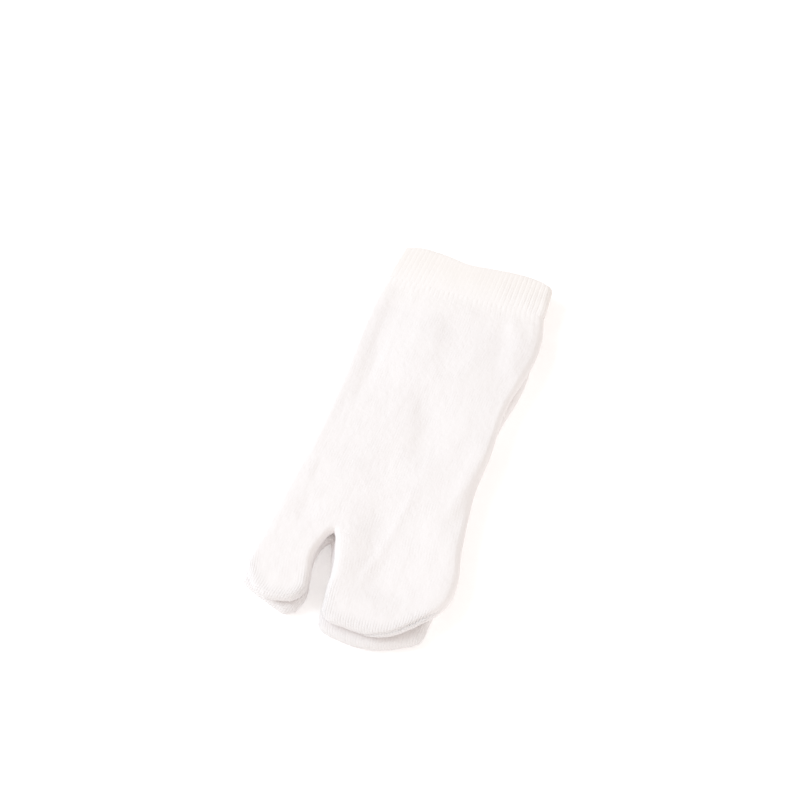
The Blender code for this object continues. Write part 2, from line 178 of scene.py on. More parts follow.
def depthInside(outline, points):
    # distance from plan points to the outline: plus inside, minus outside
    starts = outline[:-1]
    steps = outline[1:] - starts
    lengths = np.maximum((steps**2).sum(axis=1), 1e-18)     # never zero
    ends = np.roll(outline, -1, axis=0)
    depths = np.empty(len(points))
    chunk = 4000             # points at a time, to spare memory
    for first in range(0, len(points), chunk):
        part = points[first:first + chunk, None, :]
        share = np.clip(((part - starts) * steps).sum(axis=2) / lengths, 0.0, 1.0)
        distance = np.linalg.norm(starts + share[..., None] * steps - part, axis=2).min(axis=1)
        crosses = (outline[:, 1] > part[..., 1]) != (ends[:, 1] > part[..., 1])
        rise = np.where(outline[:, 1] == ends[:, 1], 1.0, ends[:, 1] - outline[:, 1])
        atX = outline[:, 0] + (part[..., 1] - outline[:, 1]) / rise * (ends[:, 0] - outline[:, 0])
        inside = np.count_nonzero(crosses & (part[..., 0] < atX), axis=1) % 2 == 1
        depths[first:first + chunk] = np.where(inside, distance, -distance)
    return depths


def inwardSteps(outline, points):
    # unit vectors in plan, from the nearest edge towards the inside
    reach = tube["slopeReach"]
    slopes = np.stack([
        depthInside(outline, points + step) - depthInside(outline, points - step)
        for step in (np.array((reach, 0.0)), np.array((0.0, reach)))
    ], axis=1)
    return slopes / np.maximum(np.linalg.norm(slopes, axis=1), 1e-9)[:, None]


def planGrid(curves):
    # plan points by column and row, with the column and the row of the split between the toes;
    # the split's column is there twice, and its two copies part below the split
    split = curves["big toe, split side"][0]
    left = curves["left edge"]
    right = curves["right edge"]
    bigWidth = np.linalg.norm(split - left[-1])
    fourWidth = np.linalg.norm(right[-1] - split)
    seamWidth = np.linalg.norm(right[0] - left[0])
    footLength = np.linalg.norm(left[0] - left[-1])
    toeLength = np.linalg.norm(curves["big toe, tip"].mean(axis=0) - split)

    bigSteps = gradedSteps(bigWidth, cellsFor(bigWidth))
    fourSteps = gradedSteps(fourWidth, cellsFor(fourWidth))
    whole = bigWidth + fourWidth
    splitSteps = np.concatenate((bigSteps * bigWidth, bigWidth + fourSteps[1:] * fourWidth)) / whole
    foldPoints = 90 // tube["foldStep"] + 1
    seamSteps = gradedSteps(seamWidth, len(splitSteps) + 1 - 2 * foldPoints)
    footRows = gradedSteps(footLength, cellsFor(footLength), start=False)
    toeRows = gradedSteps(toeLength, cellsFor(toeLength))[1:]
    splitColumn = len(bigSteps) - 1

    parts = seamSteps[:, None] + (splitSteps - seamSteps)[:, None] * smoothStep(footRows)
    nearEdge = pointsAt(left, footRows)
    farEdge = pointsAt(right, footRows)
    foot = nearEdge + parts[..., None] * (farEdge - nearEdge)
    foot = np.insert(foot, splitColumn + 1, foot[splitColumn], axis=0)

    toes = []
    for steps, sides in (
        (bigSteps, ("big toe, outer side", "big toe, split side", "big toe, tip")),
        (fourSteps, ("four toes, split side", "four toes, outer side", "four toes, tip")),
    ):
        near, far, tip = (curves[side] for side in sides)
        bow = pointsAt(tip, steps) - (tip[0] + steps[:, None] * (tip[-1] - tip[0]))
        nearRow = pointsAt(near, toeRows)
        farRow = pointsAt(far, toeRows)
        straight = nearRow + steps[:, None, None] * (farRow - nearRow)
        toes.append(straight + (toeRows**2)[:, None] * bow[:, None, :])
    plan = np.concatenate((foot, np.vstack(toes)), axis=1)
    return plan, splitColumn, len(footRows) - 1


def lineDistance(line, points):
    # distance from plan points to a line that runs to the toes, plus on the little toe's side, and the
    # part of its length, 0 to 1, that each point lies beside
    line = np.array(line, float) * mm
    starts = line[:-1]
    steps = line[1:] - starts
    lengths = np.linalg.norm(steps, axis=1)
    reach = np.concatenate(([0.0], np.cumsum(lengths)))
    share = np.clip(((points[:, None] - starts) * steps).sum(axis=2) / lengths**2, 0.0, 1.0)
    away = points[:, None] - starts - share[..., None] * steps
    gaps = np.linalg.norm(away, axis=2)
    nearest = gaps.argmin(axis=1)
    rows = np.arange(len(points))
    side = steps[nearest, 0] * away[rows, nearest, 1] - steps[nearest, 1] * away[rows, nearest, 0]
    place = (reach[nearest] + share[rows, nearest] * lengths[nearest]) / reach[-1]
    return gaps[rows, nearest] * np.sign(side), place


def creaseRelief(creases, points):
    # soft ridges and troughs, given in mm: each has a width on either side and fades at both ends
    relief = np.zeros(len(points))
    for height, bigToeWidth, littleToeWidth, fade, line in creases:
        distance, place = lineDistance(line, points)
        width = np.where(distance > 0, littleToeWidth, bigToeWidth) * mm
        ends = smoothStep(place / fade) * smoothStep((1 - place) / fade)
        relief += height * mm * ends * np.exp(-((distance / width) ** 2))
    return relief


def grain(points, size, seed):
    # smooth noise from -1 to 1 whose lumps have the given size, one for all axes or one for each
    scaled = points / np.array(size)
    offset = Vector((seed * 17.3, seed * 5.1, seed * 9.7))     # each seed has its own part of the noise
    return np.array([noise.noise(Vector(point) + offset) for point in scaled])


def heelLift(points):
    middle = np.array(tube["heelMiddle"])
    rho = (((points - middle) / np.array(tube["heelHalfSize"])) ** 2).sum(axis=1)
    return tube["heelFold"] * np.maximum(0.0, 1.0 - rho) ** 2


def walesOf(points, splitColumn, splitRow):
    # stitch column at each grid point of the upper panel, and the length down from the cuff in mm
    foot = slice(0, splitRow + 1)
    toes = slice(splitRow + 1, None)
    across = np.linalg.norm(np.diff(points, axis=0), axis=2)
    reach = np.concatenate((np.zeros((1, across.shape[1])), np.cumsum(across, axis=0)))
    wales = np.zeros(points.shape[:2])
    wales[:, foot] = tube["wales"] / 2 * reach[:, foot] / reach[-1, foot]
    atSplit = wales[splitColumn, splitRow]
    bigToe = slice(0, splitColumn + 1)
    fourToes = slice(splitColumn + 1, None)
    for pocket, edge in ((bigToe, splitColumn), (fourToes, splitColumn + 1)):
        wales[pocket, toes] = atSplit + (reach[pocket, toes] - reach[edge, toes]) / tube["toeGauge"]

    down = np.linalg.norm(np.diff(points, axis=1), axis=2)
    length = np.concatenate((np.zeros((down.shape[0], 1)), np.cumsum(down, axis=1)), axis=1)
    own = smoothStep((length[:, toes] - length[:, splitRow, None]) / tube["toeTurn"])
    above = wales[:, splitRow, None]
    wales[:, toes] = above + own * (wales[:, toes] - above)
    return wales, length / mm


def splitFace(face, coordinates, rim):
    # two triangles where a face has one point off the rim, so that the two panels share no face
    offRim = [place for place, index in enumerate(face) if not rim[index]]
    if len(offRim) != 1:
        return [face], [coordinates]
    turn = offRim[0]
    a, b, c, d = face[turn:] + face[:turn]
    ua, ub, uc, ud = coordinates[turn:] + coordinates[:turn]
    return [[a, b, c], [a, c, d]], [[ua, ub, uc], [ua, uc, ud]]


def meshObject(name, points, faces, coordinates, material):
    # one object from points, outward faces and a map of stitch columns and lengths for each face
    used, faceIndex = np.unique(np.concatenate([np.array(face) for face in faces]), return_inverse=True)
    sizes = [len(face) for face in faces]
    ends = np.cumsum(sizes)
    packed = [faceIndex[end - size:end].tolist() for size, end in zip(sizes, ends)]
    mesh = bpy.data.meshes.new(name)
    mesh.from_pydata(points[used].tolist(), [], packed)
    layer = mesh.uv_layers.new(name="stitches")
    layer.data.foreach_set("uv", np.array([pair for corner in coordinates for pair in corner]).ravel())
    mesh.materials.append(material)
    mesh.shade_smooth()
    mesh.set_sharp_from_angle(angle=math.radians(tube["sharpAngle"]))
    thing = bpy.data.objects.new(name, mesh)
    bpy.context.scene.collection.objects.link(thing)
    return thing, used


def pushOut(thing, used, pushes):
    # moves the points of a mesh along its own normals
    mesh = thing.data
    places = np.zeros(len(mesh.vertices) * 3)
    normals = np.zeros(len(mesh.vertices) * 3)
    mesh.vertices.foreach_get("co", places)
    mesh.vertices.foreach_get("normal", normals)
    moved = places.reshape(-1, 3) + normals.reshape(-1, 3) * pushes[used][:, None]
    mesh.vertices.foreach_set("co", moved.ravel())
    mesh.update()


def markPoints(thing, name, values):
    # a named value at each point of a mesh, for its material
    mark = thing.data.attributes.new(name, "FLOAT", "POINT")
    mark.data.foreach_set("value", values)


def linearColour(hexCode):
    # sRGB hex, such as "#fdf8f6", to the linear values that Blender's sockets take
    values = [int(hexCode[place:place + 2], 16) / 255 for place in (1, 3, 5)]
    linear = [v / 12.92 if v <= 0.04045 else ((v + 0.055) / 1.055) ** 2.4 for v in values]
    return (*linear, 1.0)


def addNode(tree, kind, inputs=None, **settings):
    # one node with its settings; each input is a value, an output, or a node that feeds its first output
    node = tree.nodes.new("ShaderNode" + kind)
    for name, value in settings.items():
        setattr(node, name, value)
    for socket, value in (inputs or {}).items():
        source = value.outputs[0] if isinstance(value, bpy.types.Node) else value
        if isinstance(source, bpy.types.NodeSocket):
            tree.links.new(source, node.inputs[socket])
        else:
            node.inputs[socket].default_value = source
    return node


knit = {                         # what both knits share
    "ridgeRound": 0.7,           # under 1, so that a column of stitches is round-backed
    "legSlant": 1.3,             # rows of stitches that a leg climbs in half a column
    "ghostEnd": 9.0,             # mm below the cuff at which its ribs have died out
    "seamFall": -2.5,            # how fast the groove of the toes' thread gets shallow, in 1/mm2
    # streaks of the nap: how many to a column and to a row, and their noise
    "streakScale": (0.8, 0.34, 1.0),
    "streaks": {"Scale": 1.0, "Detail": 2.0, "Roughness": 0.6},
    # places where the stitches show, and the noise values between which a place goes from worn to clear
    "patches": {"Scale": 1 / (9 * mm), "Detail": 1.0},
    "patchRange": {"From Min": 0.4, "From Max": 0.65},
    "lumps": {"Scale": 1 / (2.6 * mm), "Detail": 2.0, "Roughness": 0.5},
    "nap": {"Scale": 1 / (0.55 * mm), "Detail": 3.0, "Roughness": 0.7},
    "tones": {"Scale": 1 / (18 * mm), "Detail": 2.0},      # the unevenness of the dye
    "roughness": 0.95,
    "specular": 0.2,
    "sheenRoughness": 0.5,
}


def stitchColumns(tree, look, wale):
    # each column of stitches is a rounded ridge; also gives the angle that runs on from column to column
    turned = addNode(tree, "Math", {0: wale, 1: math.pi * look["walesPerUnit"]}, operation="MULTIPLY")
    wave = addNode(tree, "Math", {0: turned}, operation="SINE")
    ridge = addNode(tree, "Math", {0: wave}, operation="ABSOLUTE")
    rounded = addNode(tree, "Math", {0: ridge, 1: knit["ridgeRound"]}, operation="POWER")
    return rounded, turned


def clearShare(tree, look, place):
    # the columns show in some places and drown in the nap in others, and show most over the toes' rims
    patches = addNode(tree, "TexNoise", {"Vector": place, **knit["patches"]})
    clear = addNode(tree, "MapRange", {"Value": patches, **knit["patchRange"], "To Min": look["worn"]})
    rim = addNode(tree, "Attribute", attribute_name="toeRim")
    drawn = addNode(tree, "Math", {0: rim.outputs["Fac"], 1: look["rimClear"]}, operation="MULTIPLY")
    return addNode(tree, "Math", {0: clear, 1: drawn}, operation="MAXIMUM")


def stitchHeight(tree, look, place, wale, length, rounded, turned):
    # the two legs of each stitch slant down to the middle of its column
    cell = addNode(tree, "Math", {0: wale, 1: look["walesPerUnit"]}, operation="MULTIPLY")
    inCell = addNode(tree, "Math", {0: cell}, operation="FRACT")
    centred = addNode(tree, "Math", {0: inCell, 1: 0.5}, operation="SUBTRACT")
    leg = addNode(tree, "Math", {0: centred}, operation="ABSOLUTE")
    course = addNode(tree, "Math", {0: length, 1: look["courseMm"]}, operation="DIVIDE")
    slanted = addNode(tree, "Math", {0: leg, 1: knit["legSlant"], 2: course}, operation="MULTIPLY_ADD")
    legPhase = addNode(tree, "Math", {0: slanted, 1: 2 * math.pi}, operation="MULTIPLY")
    legWave = addNode(tree, "Math", {0: legPhase}, operation="SINE")
    legHeight = addNode(tree, "Math", {0: legWave, 1: look["legShare"], 2: 1.0}, operation="MULTIPLY_ADD")
    stitch = addNode(tree, "Math", {0: rounded, 1: legHeight}, operation="MULTIPLY")

    # streaks of the nap run along the columns
    along = addNode(tree, "CombineXYZ", {"X": cell, "Y": course})
    streakMap = addNode(tree, "Mapping", {"Vector": along, "Scale": knit["streakScale"]})
    streaks = addNode(tree, "TexNoise", {"Vector": streakMap, **knit["streaks"]})
    pull = addNode(tree, "Attribute", attribute_name="stitchPull")
    raised = addNode(tree, "Math", {0: stitch, 1: pull.outputs["Fac"]}, operation="MULTIPLY")
    clear = addNode(tree, "Math", {0: raised, 1: clearShare(tree, look, place)}, operation="MULTIPLY")
    height = addNode(tree, "Math", {0: streaks, 1: look["streakShare"], 2: clear}, operation="MULTIPLY_ADD")

    # ribs of the cuff die out in the first rows of the body
    ribWave = addNode(tree, "Math", {0: turned}, operation="COSINE")
    nearCuff = addNode(tree, "MapRange", {"Value": length, "From Min": 0.0, "From Max": knit["ghostEnd"],
                                          "To Min": look["ribGhost"], "To Max": 0.0})
    return addNode(tree, "Math", {0: ribWave, 1: nearCuff, 2: height}, operation="MULTIPLY_ADD")


def seamDepth(tree):
    # the thread of the toes' linking seam draws a fine groove into the cloth
    toSeam = addNode(tree, "Attribute", attribute_name="toeSeam")
    squared = addNode(tree, "Math", {0: toSeam.outputs["Fac"], 1: 2.0}, operation="POWER")
    falling = addNode(tree, "Math", {0: squared, 1: knit["seamFall"]}, operation="MULTIPLY")
    near = addNode(tree, "Math", {0: falling}, operation="EXPONENT")
    drawn = addNode(tree, "Attribute", attribute_name="toeSeamDrawn")
    return addNode(tree, "Math", {0: near, 1: drawn.outputs["Fac"]}, operation="MULTIPLY")


def knitNormal(tree, look, place, stitches):
    # four bumps, one on the other: lumps of the pile, stitches, the toes' seam, and the short nap
    lumps = addNode(tree, "TexNoise", {"Vector": place, **knit["lumps"]})
    nap = addNode(tree, "TexNoise", {"Vector": place, **knit["nap"]})
    normal = None
    for height, depthMm, sunk in (
        (lumps, look["lumpMm"], False),
        (stitches, look["stitchMm"], False),
        (seamDepth(tree), look["seamMm"], True),
        (nap, look["napMm"], False),
    ):
        inputs = {"Height": height, "Distance": depthMm * mm, "Strength": 1.0}
        if normal is not None:
            inputs["Normal"] = normal
        normal = addNode(tree, "Bump", inputs, invert=sunk)
    return normal


def yarnColour(tree, look, place, length, rounded):
    # painted shade: the yarn between the columns of stitches is painted darker, for the shade that falls
    # there, and the dye is a little uneven
    tone = addNode(tree, "TexNoise", {"Vector": place, **knit["tones"]})
    paintedGrooveShade = addNode(tree, "Math", {0: rounded, 1: look["paintedShadeShare"], 2: 1.0 - look["paintedShadeShare"]},
                   operation="MULTIPLY_ADD")
    yarn = addNode(tree, "Mix", {"Factor": tone, "A": linearColour(look["yarn"]),
                                 "B": linearColour(look["yarnUneven"])}, data_type="RGBA")
    colour = addNode(tree, "Mix", {"Factor": paintedGrooveShade, "A": linearColour(look["yarnPaintedShade"]),
                                   "B": yarn.outputs["Result"]}, data_type="RGBA")
    # body and cuff share one shade of yarn at their seam
    seam = addNode(tree, "MapRange", {"Value": length, "From Min": look["blendMm"], "From Max": 0.0})
    dyed = addNode(tree, "Mix", {"Factor": seam, "A": colour.outputs["Result"],
                                 "B": linearColour(look["seamYarn"])}, data_type="RGBA")
    return dyed.outputs["Result"]


def knitMaterial(look):
    # cotton knit: matt and soft, with columns of V stitches, a short nap and faint lumps of the pile
    material = bpy.data.materials.new(look["name"])
    material.use_nodes = True
    tree = material.node_tree
    tree.nodes.clear()
    place = addNode(tree, "TexCoord").outputs["Object"]
    stitches = addNode(tree, "UVMap", uv_map="stitches")
    wale, length = addNode(tree, "SeparateXYZ", {0: stitches}).outputs[:2]
    rounded, turned = stitchColumns(tree, look, wale)
    height = stitchHeight(tree, look, place, wale, length, rounded, turned)
    shader = addNode(tree, "BsdfPrincipled", {
        "Base Color": yarnColour(tree, look, place, length, rounded),
        "Roughness": knit["roughness"],
        "Specular IOR Level": knit["specular"],
        "Sheen Weight": look["sheen"],
        "Sheen Roughness": knit["sheenRoughness"],
        "Normal": knitNormal(tree, look, place, height),
    })
    addNode(tree, "OutputMaterial", {"Surface": shader})
    return material


# a matt and faintly fuzzy white, with columns of stitches that the nap half hides
pileLook = {
    "name": "cotton pile knit, brushed white",
    "yarn": "#f1eceb",
    "yarnUneven": "#ede8e7",
    # painted shade: the colour of the yarn between the columns, for the shade that falls there
    "yarnPaintedShade": "#e6dfde",
    "seamYarn": "#f3eeec",       # where body and cuff meet
    "blendMm": 24.0,             # how far from the seam the yarn has its own shade
    "walesPerUnit": 1.0,         # columns of stitches to a unit of the map
    "courseMm": 1.2,             # height of a row of stitches, as coarse as it needs to be to show
    "legShare": 0.25,            # depth between the legs of the stitches, in columns' heights
    "stitchMm": 0.06,            # height of a column
    "worn": 0.2,                 # how clear the stitches stay where the nap hides them
    "streakShare": 1.4,          # height of the nap's streaks, in columns' heights
    "ribGhost": 1.05,            # height of the cuff's last ribs on the body, in columns' heights
    "rimClear": 4.8,             # how clear the stitches are over the toes' rims
    "seamMm": 0.42,              # depth of the toes' linking seam
    "lumpMm": 0.3,
    "napMm": 0.035,
    "paintedShadeShare": 0.12,           # how far the yarn between the columns goes to its painted shade
    "sheen": 0.2,
}

# a little creamier and smoother, with clearer columns of stitches, two to a rib
ribLook = {
    "name": "elastic cotton rib knit, cream",
    "yarn": "#f3eeeb",
    "yarnUneven": "#f1ebe7",
    # painted shade: the colour of the yarn between the columns, for the shade that falls there
    "yarnPaintedShade": "#ebe2dc",
    "seamYarn": "#f3eeec",
    "blendMm": 16.0,
    "walesPerUnit": 2.0,         # two columns to a rib
    "courseMm": 1.0,
    "legShare": 0.3,
    "stitchMm": 0.08,
    "worn": 0.4,
    "streakShare": 0.5,
    "ribGhost": 0.0,
    "rimClear": 0.0,
    "seamMm": 0.0,
    "lumpMm": 0.15,
    "napMm": 0.06,
    # how far the yarn between the columns goes to its painted shade
    "paintedShadeShare": 0.3,
    "sheen": 0.15,
}
pileKnit = knitMaterial(pileLook)
ribKnit = knitMaterial(ribLook)
print("materials made")

cuffShape = {
    "radius": 3.1 * mm,          # half the thickness of the flattened cuff, without its ribs
    "wall": 1.7 * mm,
    "ribHeight": 0.6 * mm,       # of the solid's ribs
    "ribRelief": 0.12 * mm,      # of the knit's own ribs, between groove and crest
    # how strongly the ribs stand out: parts of the way across, and the strength at each
    "ribPull": ((0.0, 0.8), (0.2, 0.8), (0.36, 0.4), (0.62, 0.5), (0.74, 1.1), (0.88, 1.4), (1.0, 1.4)),
    "ribs": 70,
    "pointsPerRib": 8,
    "rows": 22,
    "innerRows": 6,
    "linePoints": 121,           # across the cuff
    "lipAngles": (22, 45, 67, 90, 113, 135, 158),     # degrees, of mesh points round the mouth's lip
    "seamGap": 0.01 * mm,
    "mouthStart": 0.9,           # part of the height from which the ribs get lower
    "mouthFade": 0.35,           # how much lower the ribs are at the very mouth
    "seamFade": 0.09,            # part of the height over which the ribs rise from the sock's body
    "leaveShare": 0.3,           # part of the height over which the cuff leaves the body's level
    "flatBelow": -0.5,           # sine of the angle below which a cuff that rests is flat
    "sway": 0.16 * mm,           # how far a rib wanders to either side
    "swaySize": (1 / 12, 1 / 12, 6 * mm),             # round the cuff, in its radii, and up it
    "wave": 0.35 * mm,           # of the top, and the size of its waves across and along
    "waveSize": (14 * mm, 30 * mm, 1),
}
lowerCuff = {
    **cuffShape,
    "name": "lower_cuff_rib_knit",
    "middle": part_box("lower_cuff")[0].z + cuffShape["radius"],
    "rests": True,
    "seed": 31,
}
upperCuff = {
    **cuffShape,
    "name": "upper_cuff_rib_knit",
    "middle": (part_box("upper_cuff")[0].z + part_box("upper_cuff")[1].z) / 2,
    "rests": False,
    "seed": 41,
}


def cuffWalk(walk, width, radius):
    # places round a flattened tube, from its left fold over the top and back below: how far each lies
    # across, and its angle, which is straight up on the top and straight down below
    levelWidth = width - 2 * radius
    halfTurn = math.pi * radius
    upright = math.pi / 2
    top = walk < levelWidth
    rightFold = ~top & (walk < levelWidth + halfTurn)
    below = ~top & ~rightFold & (walk < 2 * levelWidth + halfTurn)
    leftFold = ~top & ~rightFold & ~below
    across = np.full(len(walk), radius)
    turn = np.full(len(walk), upright)
    across[top] = radius + walk[top]
    across[rightFold] = width - radius
    turn[rightFold] = upright - (walk[rightFold] - levelWidth) / radius
    across[below] = width - radius - (walk[below] - levelWidth - halfTurn)
    turn[below] = -upright
    turn[leftFold] = -upright - (walk[leftFold] - 2 * levelWidth - halfTurn) / radius
    return across, turn


def cuffRing(line, settings, share, wallShare, length):
    # one closed ring over a line across the cuff, at a share of the cuff's height;
    # wallShare runs from 1 on the outer face to -1 on the inner one
    count = settings["ribs"] * settings["pointsPerRib"]
    width = np.linalg.norm(line[-1] - line[0])
    radius = settings["radius"]
    around = 2 * (width - 2 * radius) + 2 * math.pi * radius
    ribs = np.arange(count) / settings["pointsPerRib"]
    circle = ribs * 2 * math.pi / settings["ribs"]
    whirl = np.column_stack((np.cos(circle), np.sin(circle), np.full(count, length)))
    sway = grain(whirl, settings["swaySize"], settings["seed"])
    walk = (ribs / settings["ribs"] * around + sway * settings["sway"]) % around
    across, turn = cuffWalk(walk, width, radius)

    crest = np.abs(np.sin(ribs * math.pi))
    nearMouth = smoothStep((share - settings["mouthStart"]) / (1 - settings["mouthStart"]))
    relief = settings["ribRelief"] * (1 - settings["mouthFade"] * nearMouth)
    relief = relief * smoothStep(share / settings["seamFade"])
    stations, strengths = np.array(settings["ribPull"]).T
    pull = np.interp(across / width, stations, strengths)
    relief = relief * pull
    outer = radius + settings["ribHeight"] / 2 + relief * (crest - 0.5)
    if settings["rests"]:
        outer = np.where(np.sin(turn) < settings["flatBelow"], radius - relief * (1 - crest), outer)
    inner = radius - settings["wall"]
    out = (outer + inner) / 2 + wallShare * (outer - inner) / 2
    part = (across + out * np.cos(turn)) / width

    # near the body the cuff's sides are level with it, and its top has no waves
    leaving = smoothStep(share / settings["leaveShare"])
    tuck = settings["ribHeight"] * (1 - leaving) / width
    part = 0.5 + (part - 0.5) * (1 - tuck)
    ring = pointsAt(line, np.clip(part, 0.0, 1.0))
    past = (np.minimum(part, 0.0) + np.maximum(part - 1.0, 0.0)) * width
    level = np.column_stack((ring, np.zeros(count)))
    wave = settings["wave"] * grain(level, settings["waveSize"], settings["seed"] + 5)
    wave = wave * np.clip(np.sin(turn), 0.0, 1.0) * leaving
    heights = settings["middle"] + out * np.sin(turn) + wave
    return np.column_stack((ring[:, 0] + past, ring[:, 1], heights)), pull


def makeCuff(settings, outline, material):
    # a closed band: up the outer face from the seam, over the rounded mouth and back down inside
    left = np.array(outline["left edge"][0]) * mm
    right = np.array(outline["right edge"][0]) * mm
    mouth = smoothCurve(outline["cuff, mouth"])
    height = np.linalg.norm(mouth.mean(axis=0) - (left + right) / 2)
    lip = (settings["wall"] + settings["ribHeight"]) / 2 / height
    stations = [(share, 1.0) for share in np.linspace(0.0, 1.0 - lip, settings["rows"])]
    for angle in np.radians(settings["lipAngles"]):
        stations.append((1.0 - lip + lip * math.sin(angle), math.cos(angle)))
    stations += [(share, -1.0) for share in np.linspace(1.0 - lip, 0.0, settings["innerRows"])]

    rings = []
    pulls = []
    lengths = []
    steps = np.linspace(0.0, 1.0, settings["linePoints"])
    base = left + steps[:, None] * (right - left) + np.array((0.0, settings["seamGap"]))
    tip = pointsAt(mouth, steps)
    for share, wallShare in stations:
        line = (1 - share) * base + share * tip
        ring, pull = cuffRing(line, settings, share, wallShare, share * height)
        rings.append(ring)
        pulls.append(pull)
        lengths.append(share * height / mm)

    around = len(rings[0])
    faces = []
    coordinates = []
    perRib = settings["pointsPerRib"]
    for row in range(len(rings)):
        nextRow = (row + 1) % len(rings)
        for index in range(around):
            beside = (index + 1) % around
            faces.append([row * around + index, row * around + beside,
                          nextRow * around + beside, nextRow * around + index])
            here = index / perRib
            there = (index + 1) / perRib
            coordinates.append([(here, lengths[row]), (there, lengths[row]),
                                (there, lengths[nextRow]), (here, lengths[nextRow])])
    thing, used = meshObject(settings["name"], np.vstack(rings), faces, coordinates, material)
    markPoints(thing, "stitchPull", np.concatenate(pulls)[used])
    return thing


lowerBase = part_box("lower_sock")[0].z

# creases: height, width towards the big toe's side and towards the little toe's, share of its length
# over which each end fades, and its line from the cuff to the toes, all in mm but the share
instepCreases = (
    (0.3, 4.8, 4.0, 0.2, ((-46.2, 90), (-46.4, 66), (-46.2, 46), (-45.4, 28), (-46, 8), (-46.6, -16),
                          (-47, -44))),
    (-0.75, 3.6, 16.0, 0.15, ((-39.6, 101), (-38.4, 76), (-38, 54), (-37.4, 36), (-35.6, 20), (-35.2, 4))),
    (-0.3, 2.2, 3.0, 0.35, ((-33.6, 58), (-34.4, 40), (-33.8, 14))),
    (-0.35, 4.9, 10.0, 0.3, ((-9.5, 90), (0, 76), (1.8, 62), (-1.6, 44))),
    (-1.2, 13.0, 13.0, 0.3, ((2.4, 88), (4.8, 70), (4.4, 50), (5.6, 34))),
    (-0.25, 4.1, 3.8, 0.3, ((26.7, 96), (31.6, 77), (32.6, 62), (33.3, 50))),
    (1.15, 8.0, 6.0, 0.3, ((33.6, 96), (41.4, 78), (43.8, 60), (43.6, 46))),
    (0.35, 2.3, 2.3, 0.4, ((44, 97), (49.3, 80))),
    (-1.4, 6.5, 13.0, 0.3, ((-6, 36), (2.6, 20), (9.4, 5), (10.6, -8), (13, -24))),
    (1.0, 6.6, 3.8, 0.3, ((48, 20), (45.6, 3), (43, -14), (42.8, -33), (37, -50))),
    (-1.3, 4.6, 11.0, 0.3, ((49.6, -4), (48.4, -16), (45.8, -28), (44.2, -42), (34, -54))),
    (0.5, 2.2, 3.2, 0.25, ((16, -28), (14.6, -48), (12, -68), (8.4, -86), (5, -106))),
    (0.7, 4.5, 9.0, 0.2, ((-9.5, -60), (-8.5, -74), (-6.5, -84), (-5, -94), (-4.4, -103), (-3.6, -112))),
    (-1.35, 10.0, 12.0, 0.25, ((-8, -42), (3, -57), (8, -70), (11, -83), (10, -106))),
    (-1.5, 19.0, 11.0, 0.25, ((19, -38), (25, -60), (26.5, -82), (25, -112))),
    (-0.4, 10.0, 4.5, 0.3, ((44, -58), (43.6, -76), (41.5, -92), (38.4, -106))),
    (-0.45, 2.6, 5.6, 0.4, ((-39, -30), (-39, -52))),
    (-0.8, 4.6, 8.6, 0.4, ((-38, -54), (-38, -74))),
    (-0.95, 8.0, 13.0, 0.4, ((-15, -18), (-5.2, -31), (-0.4, -42))),
)
restingCreases = (
    (0.7, 3.0, 5.0, 0.3, ((-41, 70), (-42.6, 40), (-38, 6))),
    (0.8, 4.0, 4.0, 0.3, ((38, 84), (36, 60), (39.5, 34))),
    (0.6, 7.0, 9.0, 0.35, ((-3, 30), (4, 6), (3, -20))),
    (0.8, 4.0, 5.0, 0.3, ((-12, -52), (-4, -74), (0, -98))),
    (0.7, 3.5, 4.0, 0.35, ((38, -12), (35.6, -34), (28, -58))),
)
sockShape = {
    "seamRadius": cuffShape["radius"] + cuffShape["ribHeight"] / 2,
    "seamWall": cuffShape["wall"] + cuffShape["ribHeight"] / 2,
    "swellSize": (22 * mm, 45 * mm, 1),      # of the broad unevenness, across and along
    "rippleSize": (5 * mm, 15 * mm, 1),      # of the fine one
    "lump": 0.10 * mm,
    "lumpSize": 3.2 * mm,
    "fineLumpSize": 1.5 * mm,
    "fineLumpShare": 0.5,        # height of the fine lumps, in coarse ones
    "lumpStart": (1.0, 5.0),     # mm below the cuff between which the lumps come in
    "flatBand": 0.5 * mm,        # an underside that rests has no lumps up to this height
    # the toes' linking seams, in mm: where they come in, and a groove with a welt just below it
    "seamStart": 88.0,
    "seamFade": 5.0,
    "seamGroove": 0.5,
    "grooveWidth": 0.7,
    "seamWelt": 0.3,
    "weltAway": 1.5,
    "weltWidth": 0.8,
    # clear stitches over the toes' rims, in mm where they come in
    "rimStart": 92.0,
    "rimFade": 12.0,
    "rimReach": 2.2,             # how far in they reach, in fold radii
    "rimRound": 0.7,             # under 1, so that they fade late
}
lowerSock = {
    **sockShape,
    "name": "lower_sock_pile_knit",
    "outline": lowerOutline,
    "middle": lowerBase + tube["foldRadius"],
    "cuffMiddle": lowerCuff["middle"],
    "floor": lowerBase,
    "rests": True,
    "drapes": 0.0,               # 1 where it sags past the sock below
    "topHeel": 1.0,              # how many times the heel's fold lifts each side of the sock
    "underHeel": 0.0,
    "innerHeel": 0.0,
    "creases": (),
    "underCreases": restingCreases,
    "swell": 0.0,
    "ripple": 0.0,
    # for each pocket: mm across, degrees up from the middle of the edge, and strength
    "toeSeams": (
        ((-49, -30, 0), (-45, -34, 1), (-26, -34, 1), (-21, -30, 0)),
        ((-7, -34, 0), (-2, -36, 1), (36, -34, 1), (46, -20, 1), (50, -10, 0)),
    ),
    "seed": 11,
}
